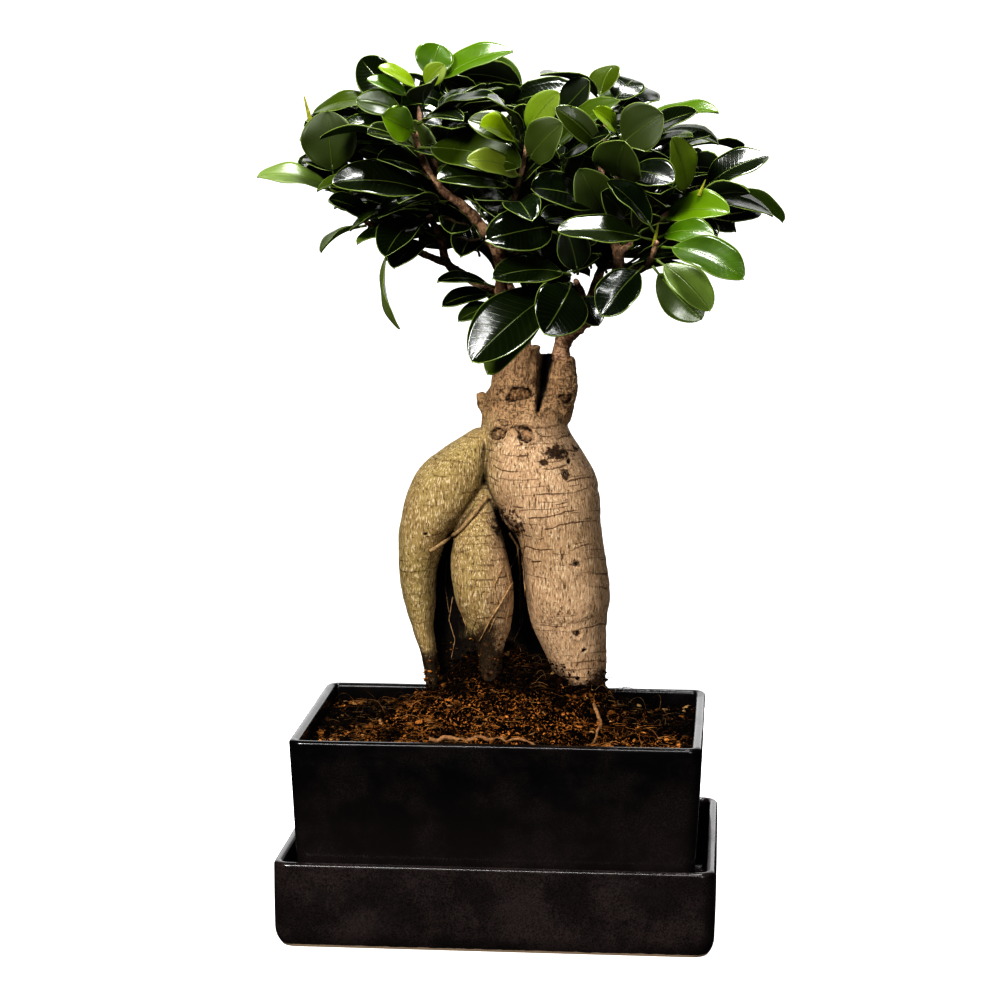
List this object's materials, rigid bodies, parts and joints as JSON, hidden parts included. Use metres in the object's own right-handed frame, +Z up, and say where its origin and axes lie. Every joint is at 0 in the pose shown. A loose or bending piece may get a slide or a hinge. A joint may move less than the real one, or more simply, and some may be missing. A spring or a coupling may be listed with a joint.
{
  "type": "bonsai tree in a pot",
  "caption": "Bonsai fig with a swollen forked root and leafy grafted twigs, in a rectangular glazed pot that stands in a matching drip tray.",
  "frame": {"origin": "middle of the drip tray's flat underside", "axes": "+Z up along the tree, +X to the right along the pot's long side, -Y towards the front"},
  "size_m": [0.2548, 0.2101, 0.4366],
  "materials": {
    "black_glaze": "glossy black glaze with faint brown mottling, unglazed foot edge",
    "potting_soil": "matte crumbly compost with fibres and bark chips",
    "root_bark": "matte tan bark with brown cross cracks",
    "twig_bark": "matte knobby brown bark",
    "rootlet": "matte orange-brown fibre",
    "leaf_dark": "glossy dark green leaf",
    "leaf_olive": "satin olive green leaf",
    "leaf_bright": "glossy bright green leaf",
    "leaf_pale": "satin pale green leaf",
    "leaf_yellow": "glossy yellow-green young leaf"
  },
  "bodies": {
    "root": {"drip_tray": "black_glaze", "pot": "black_glaze", "soil": "potting_soil", "swollen_root": "root_bark", "main_branch": "twig_bark", "right_graft": "twig_bark", "back_left_branch": "twig_bark", "left_branch": "twig_bark", "left_twig": "twig_bark", "right_shoot": "twig_bark", "centre_shoot": "twig_bark", "top_left_twig": "twig_bark", "centre_front_twig": "twig_bark", "front_right_twig": "twig_bark", "upper_right_branch": "twig_bark", "back_centre_branch": "twig_bark", "back_right_branch": "twig_bark", "loose_root_front": "rootlet", "loose_root_right": "rootlet", "aerial_root": "rootlet", "leaf_far_left": "leaf_pale", "leaf_round_left": "leaf_olive", "leaf_flat_left": "leaf_pale", "leaf_big_left": "leaf_dark", "leaf_arched_left": "leaf_olive", "leaf_narrow_left": "leaf_dark", "leaf_round_top": "leaf_olive", "leaf_glossy_top": "leaf_bright", "leaf_arched_middle": "leaf_dark", "leaf_olive_middle": "leaf_olive", "leaf_yellow_middle": "leaf_yellow", "leaf_upright_middle": "leaf_olive", "leaf_dark_middle": "leaf_dark", "leaf_olive_top_right": "leaf_olive", "leaf_dark_top_right": "leaf_dark", "leaf_umbrella": "leaf_dark", "leaf_olive_right": "leaf_olive", "leaf_round_right": "leaf_olive", "leaf_long_right": "leaf_dark", "leaf_bright_curved": "leaf_bright", "leaf_glossy_far_right": "leaf_dark", "leaf_light_right": "leaf_bright", "leaf_thin_far_right": "leaf_pale", "leaf_right_front": "leaf_bright", "leaf_right_low": "leaf_dark", "leaf_right_inner": "leaf_dark", "leaf_right_hanging": "leaf_dark", "leaf_right_raised": "leaf_dark", "leaf_centre_flat": "leaf_dark", "leaf_centre_long": "leaf_dark", "leaf_centre_broad": "leaf_dark", "leaf_centre_low": "leaf_dark", "leaf_left_narrow": "leaf_pale", "leaf_left_hanging": "leaf_pale", "leaf_left_round": "leaf_dark", "leaf_left_low": "leaf_dark", "leaf_back_left": "leaf_dark", "leaf_back_middle": "leaf_olive", "leaf_back_right": "leaf_dark", "leaf_back_top": "leaf_bright"}
  },
  "joints": []
}
